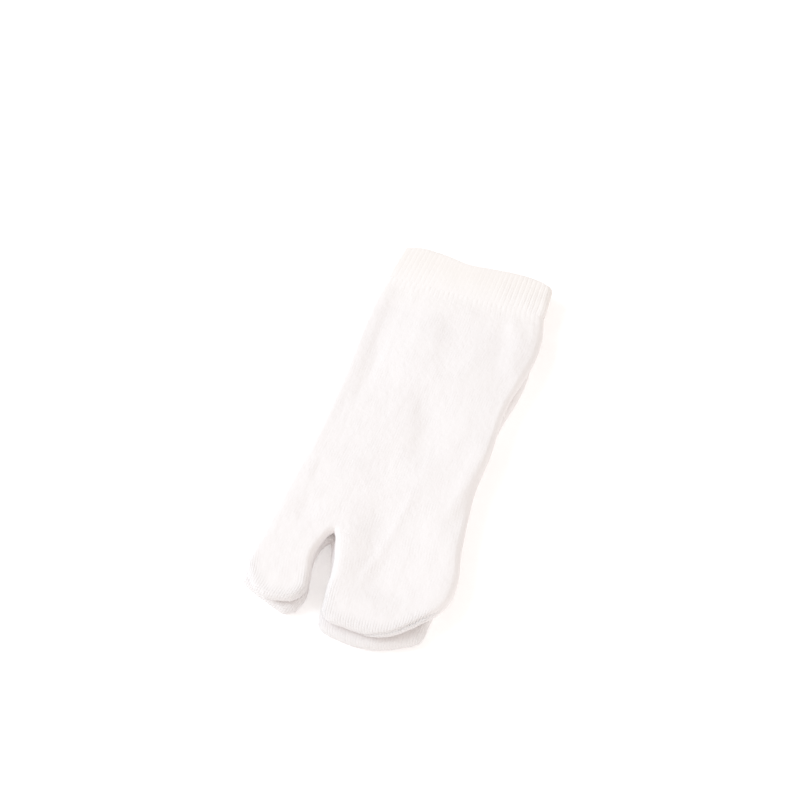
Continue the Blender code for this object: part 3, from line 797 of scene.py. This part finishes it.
upperSock = {
    **sockShape,
    "name": "upper_sock_pile_knit",
    "outline": upperOutline,
    "middle": lowerBase + 3 * tube["foldRadius"] + tube["stackGap"],
    "cuffMiddle": upperCuff["middle"],
    "floor": 0.0,
    "rests": False,
    "drapes": 1.0,
    "topHeel": 2.0,
    "underHeel": 1.0,
    "innerHeel": 2.0,
    "creases": instepCreases,
    "underCreases": (),
    "swell": 0.18 * mm,
    "ripple": 0.16 * mm,
    "toeSeams": (
        ((-54, -30, 0), (-50, -36, 1), (-25, -36, 1), (-21, -30, 0)),
        ((-7, -36, 0), (0, -36, 1), (16, -30, 1), (21, 10, 1), (26, 38, 1), (34, 48, 1), (44, 52, 1),
         (49, 50, 0.8), (54.5, 40, 0)),
    ),
    "seed": 21,
}


def toeSeam(settings, points, turns, pocket):
    # the linking seam that closes each toe pocket round its tip: the push of its groove and its welt,
    # each point's distance from it in mm, and how strongly it is drawn there
    push = np.zeros(len(points))
    distance = np.zeros(len(points))
    drawn = np.zeros(len(points))
    for index, table in enumerate(settings["toeSeams"]):
        stations, angles, strengths = np.array(table, float).T
        across = points[:, 0] / mm
        angle = np.radians(np.interp(across, stations, angles))
        strength = np.interp(across, stations, strengths) * (pocket == index)
        down = -points[:, 1] / mm - settings["seamStart"]
        strength = strength * smoothStep(down / settings["seamFade"])
        arc = (turns - angle) * tube["foldRadius"] / mm
        fromWelt = arc + settings["weltAway"]
        groove = -settings["seamGroove"] * np.exp(-((arc / settings["grooveWidth"]) ** 2))
        welt = settings["seamWelt"] * np.exp(-((fromWelt / settings["weltWidth"]) ** 2))
        push += strength * (groove + welt) * mm
        distance[pocket == index] = arc[pocket == index]
        drawn += strength
    return push, distance, drawn


def sockGrid(outline):
    # the plan points of a sock, and what its walls, faces and finish are all worked out from
    curves = smoothCurves(outline)
    plan, splitColumn, splitRow = planGrid(curves)
    columns, rows = plan.shape[:2]
    flat = plan.reshape(-1, 2)
    rim = np.zeros((columns, rows), bool)
    rim[[0, -1]] = True
    rim[:, -1] = True
    rim[splitColumn:splitColumn + 2, splitRow:] = True

    edge = runOnOutline(curves)
    depth = np.where(rim.ravel(), 0.0, np.maximum(depthInside(edge, flat), 0.0))
    lean = np.maximum(0.0, 1.0 - depth / tube["foldRadius"])
    rise = np.sqrt(1.0 - lean**2)
    level = np.column_stack((flat, rise * tube["foldRadius"])).reshape(columns, rows, 3)
    wales, length = walesOf(level, splitColumn, splitRow)
    return {
        "plan": plan,
        "flat": flat,
        "edge": edge,
        "rim": rim,
        "splitColumn": splitColumn,
        "splitRow": splitRow,
        "depth": depth,          # from the edge
        "lean": lean,            # 1 at the very edge and 0 on the level panels
        "rise": rise,            # 0 at the very edge and 1 on the level panels
        "wales": wales,
        "length": length,        # from the cuff, in mm
    }


def innerSteps(grid, wall):
    # how far in plan the inner wall lies inside the outer one; in the toes' corners the wall is thinner,
    # so it doesn't cross itself, and at the open end it keeps to the slant of the seam with the cuff
    plan = grid["plan"]
    flat = grid["flat"]
    split = grid["splitColumn"]
    toeCorners = plan[[0, split, split + 1, -1], -1]
    fromCorner = np.linalg.norm(flat[:, None] - toeCorners, axis=2).min(axis=1)
    thinner = 1.0 - tube["cornerThinning"] * np.exp(-((fromCorner / tube["cornerReach"]) ** 2))
    steps = inwardSteps(grid["edge"], flat) * (grid["lean"] * wall * thinner)[:, None]
    seamSlant = (plan[-1, 0, 1] - plan[0, 0, 1]) / (plan[-1, 0, 0] - plan[0, 0, 0])
    openEnd = steps.reshape(plan.shape)[:, 0]
    openEnd[:, 1] = openEnd[:, 0] * seamSlant
    return steps


def sockWalls(settings, grid, lowerEdge):
    # four layers of points: the outer wall's upper and under panels, then the inner wall's
    flat = grid["flat"]
    rise = grid["rise"]
    radius = tube["foldRadius"]
    length = grid["length"].ravel() * mm

    # where the body meets its cuff it takes the cuff's height, thickness and wall
    drawIn = smoothStep(1.0 - length / tube["narrowing"])
    middle = settings["middle"] + (settings["cuffMiddle"] - settings["middle"]) * drawIn
    half = radius + (settings["seamRadius"] - radius) * drawIn
    wall = tube["wall"] + (settings["seamWall"] - tube["wall"]) * drawIn

    sag = tube["droop"] * np.maximum(0.0, radius - depthInside(lowerEdge, flat)) ** 2 * settings["drapes"]
    heel = heelLift(flat)
    spread = np.column_stack((flat, np.zeros(len(flat))))
    swell = settings["swell"] * grain(spread, settings["swellSize"], settings["seed"])
    ripple = settings["ripple"] * grain(spread, settings["rippleSize"], settings["seed"] + 1)
    fromSeam = smoothStep(length / tube["creaseStart"])
    relief = (creaseRelief(settings["creases"], flat) + swell + ripple) * rise * fromSeam
    underRelief = creaseRelief(settings["underCreases"], flat) * rise

    inside = flat + innerSteps(grid, wall)
    outerTop = middle + rise * half + settings["topHeel"] * heel - sag + relief
    outerUnder = middle - rise * half + settings["underHeel"] * heel - sag + underRelief
    outerUnder = np.maximum(outerUnder, settings["floor"])
    innerTop = middle + rise * (half - wall) + settings["innerHeel"] * heel - sag + relief
    innerUnder = middle - rise * (half - wall) + settings["innerHeel"] * heel - sag + underRelief
    layers = ((flat, outerTop), (flat, outerUnder), (inside, innerTop), (inside, innerUnder))
    return np.vstack([np.column_stack(layer) for layer in layers])


def sockFaces(grid):
    # outward faces of the four layers of points, each with its map of stitch columns and lengths
    rim = grid["rim"]
    split = grid["splitColumn"]
    columns, rows = rim.shape
    count = columns * rows
    upper = np.arange(count).reshape(columns, rows)
    upper[split + 1, :grid["splitRow"] + 1] = upper[split, :grid["splitRow"] + 1]
    under = np.where(rim, upper, upper + count)
    upperMap = np.stack((grid["wales"], grid["length"]), axis=2).tolist()
    underMap = np.stack((tube["wales"] - grid["wales"], grid["length"]), axis=2).tolist()
    onRim = np.tile(rim.ravel(), 4)
    faces = []
    coordinates = []
    for c in range(columns - 1):
        if c == split:
            continue
        for r in range(rows - 1):
            corners = [(c, r), (c, r + 1), (c + 1, r + 1), (c + 1, r)]
            for order, panel, stitches in ((corners, upper, upperMap), (corners[::-1], under, underMap)):
                face = [int(panel[corner]) for corner in order]
                where = [stitches[i][j] for i, j in order]
                found, places = splitFace(face, where, onRim)
                faces += found
                coordinates += places

    # the inner wall, turned inwards, and the ring that joins both walls at the open end
    inner = 2 * count
    for face, where in list(zip(faces, coordinates)):
        faces.append([inner + index for index in reversed(face)])
        coordinates.append(where[::-1])
    mouth = [int(upper[c, 0]) for c in range(columns) if c != split + 1]
    mouth += [int(under[c, 0]) for c in range(columns - 2, 0, -1) if c != split + 1]
    for here, there in zip(mouth, mouth[1:] + mouth[:1]):
        faces.append([here, there, inner + there, inner + here])
        coordinates.append([(0.0, 0.0)] * 4)
    return faces, coordinates


def pileLumps(settings, points):
    # lumps of the pile, with finer ones on them
    coarse = grain(points, settings["lumpSize"], settings["seed"] + 2)
    fine = grain(points, settings["fineLumpSize"], settings["seed"] + 3)
    return settings["lump"] * (coarse + settings["fineLumpShare"] * fine)


def rimStitches(settings, grid):
    # over the toes' rims the stitches are drawn apart, so they show most there
    away = grid["depth"] / (settings["rimReach"] * tube["foldRadius"])
    down = -grid["flat"][:, 1] / mm - settings["rimStart"]
    return np.clip(1.0 - away, 0.0, 1.0) ** settings["rimRound"] * smoothStep(down / settings["rimFade"])


def finishSock(settings, grid, points, thing, used):
    # lumps of the pile and the toe seams, along the surface's own normals, and the marks for the knit
    flat = grid["flat"]
    count = len(flat)
    columns, rows = grid["rim"].shape
    start, end = settings["lumpStart"]
    away = smoothStep((grid["length"].ravel() - start) / (end - start))
    upper = points[:count]
    under = points[count:2 * count]
    turn = np.arccos(np.clip(grid["lean"], 0.0, 1.0))
    pocket = np.repeat(np.arange(columns) > grid["splitColumn"], rows).astype(int)
    upperPush, upperSeam, drawn = toeSeam(settings, flat, turn, pocket)
    underPush, underSeam, drawn = toeSeam(settings, flat, -turn, pocket)
    pushes = np.zeros(len(points))
    pushes[:count] = (pileLumps(settings, upper) + upperPush) * away
    pushes[count:2 * count] = (pileLumps(settings, under) + underPush) * away
    if settings["rests"]:
        pushes[count:2 * count] *= under[:, 2] > settings["floor"] + settings["flatBand"]
    pushOut(thing, used, pushes)
    markPoints(thing, "toeSeam", np.concatenate((upperSeam, underSeam, upperSeam, underSeam))[used])
    markPoints(thing, "toeSeamDrawn", np.tile(drawn, 4)[used])
    markPoints(thing, "toeRim", np.tile(rimStitches(settings, grid), 4)[used])
    markPoints(thing, "stitchPull", np.ones(len(used)))


def makeSock(settings, lowerEdge, material):
    # the knitted body: an outer and an inner wall that meet at the open end
    grid = sockGrid(settings["outline"])
    points = sockWalls(settings, grid, lowerEdge)
    faces, coordinates = sockFaces(grid)
    thing, used = meshObject(settings["name"], points, faces, coordinates, material)
    finishSock(settings, grid, points, thing, used)
    return thing


lowerEdge = runOnOutline(smoothCurves(lowerOutline))
lowerBody = makeSock(lowerSock, lowerEdge, pileKnit)
upperBody = makeSock(upperSock, lowerEdge, pileKnit)
print("socks made:", len(lowerBody.data.polygons), "and", len(upperBody.data.polygons), "faces")
lowerBand = makeCuff(lowerCuff, lowerOutline, ribKnit)
upperBand = makeCuff(upperCuff, upperOutline, ribKnit)
print("cuffs made:", len(lowerBand.data.polygons), "and", len(upperBand.data.polygons), "faces")

bodyCut = {"flat": (0.222, 0.225), "area": 0.0445}       # all round, by cuff seam to toe tips
cuffCut = {"flat": (0.204, 0.0245)}                      # all round, by height
pairing = (
    (lowerBody, "lower_sock", "pile_knit", bodyCut, []),
    (upperBody, "upper_sock", "pile_knit", bodyCut, [lowerBody.name]),
    (lowerBand, "lower_cuff", "rib_knit", cuffCut, []),
    (upperBand, "upper_cuff", "rib_knit", cuffCut, [lowerBand.name]),
)
for piece, node, slotName, cut, under in pairing:
    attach(piece, "root")
    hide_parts(node)

studio = {
    "floorSize": 6.0,
    "floorDrop": 0.2 * mm,       # keeps the floor clear of the sock that rests
    "floorColour": "#fbfafa",
    "floorGlow": 0.2,            # soft, as from a light table
    "sky": 0.79,
    "skyColour": (1.0, 0.96, 0.925, 1.0),
    "softboxes": (               # name, place, size, power and colour
        ("key softbox", (-1.24, -0.12, 0.95), 1.2, 14.0, (0.88, 1.0, 1.1)),
        ("fill softbox", (1.0, -0.92, 0.7), 1.2, 4.0, (1.0, 1.0, 1.0)),
    ),
    "target": (-14.4 * mm, 25.8 * mm, 0.0),
    "azimuth": 20,
    "elevation": 60,
    "distance": 0.8,
    "lens": 61.2,
    "sensorWidth": 36,
    "clipStart": 0.01,
}


def makeFloor():
    bpy.ops.object.select_all(action="DESELECT")
    bpy.ops.mesh.primitive_plane_add(size=studio["floorSize"], location=(0, 0, -studio["floorDrop"]))
    floor = bpy.context.object
    floor.name = "floor"
    paint = bpy.data.materials.new("matt white board")     # plain and pale, with no gloss
    paint.use_nodes = True
    shader = paint.node_tree.nodes["Principled BSDF"]
    colour = linearColour(studio["floorColour"])
    for socket, value in (
        ("Base Color", colour),
        ("Roughness", 1.0),
        ("Specular IOR Level", 0.0),
        ("Emission Color", colour),
        ("Emission Strength", studio["floorGlow"]),
    ):
        shader.inputs[socket].default_value = value
    floor.data.materials.append(paint)


def makeLights():
    scene = bpy.context.scene
    world = bpy.data.worlds.new("soft white room")
    scene.world = world
    world.use_nodes = True
    sky = world.node_tree.nodes["Background"]
    sky.inputs["Color"].default_value = studio["skyColour"]
    sky.inputs["Strength"].default_value = studio["sky"]
    for name, place, size, power, colour in studio["softboxes"]:
        light = bpy.data.lights.new(name, "AREA")
        light.shape = "DISK"
        light.size = size
        light.energy = power
        light.color = colour
        softbox = bpy.data.objects.new(name, light)
        softbox.location = place
        softbox.rotation_euler = (-Vector(place)).to_track_quat("-Z", "Y").to_euler()
        scene.collection.objects.link(softbox)
    scene.view_settings.view_transform = "Standard"


def makeCamera():
    turn = math.radians(studio["azimuth"])
    tilt = math.radians(studio["elevation"])
    back = Vector((math.sin(turn) * math.cos(tilt), -math.cos(turn) * math.cos(tilt), math.sin(tilt)))
    data = bpy.data.cameras.new("camera")
    data.lens = studio["lens"]
    data.sensor_width = studio["sensorWidth"]
    data.clip_start = studio["clipStart"]
    camera = bpy.data.objects.new("camera", data)
    camera.location = Vector(studio["target"]) + back * studio["distance"]
    camera.rotation_euler = (-back).to_track_quat("-Z", "Y").to_euler()
    bpy.context.scene.collection.objects.link(camera)
    bpy.context.scene.camera = camera


makeFloor()
makeLights()
makeCamera()
print("floor, light and camera set")
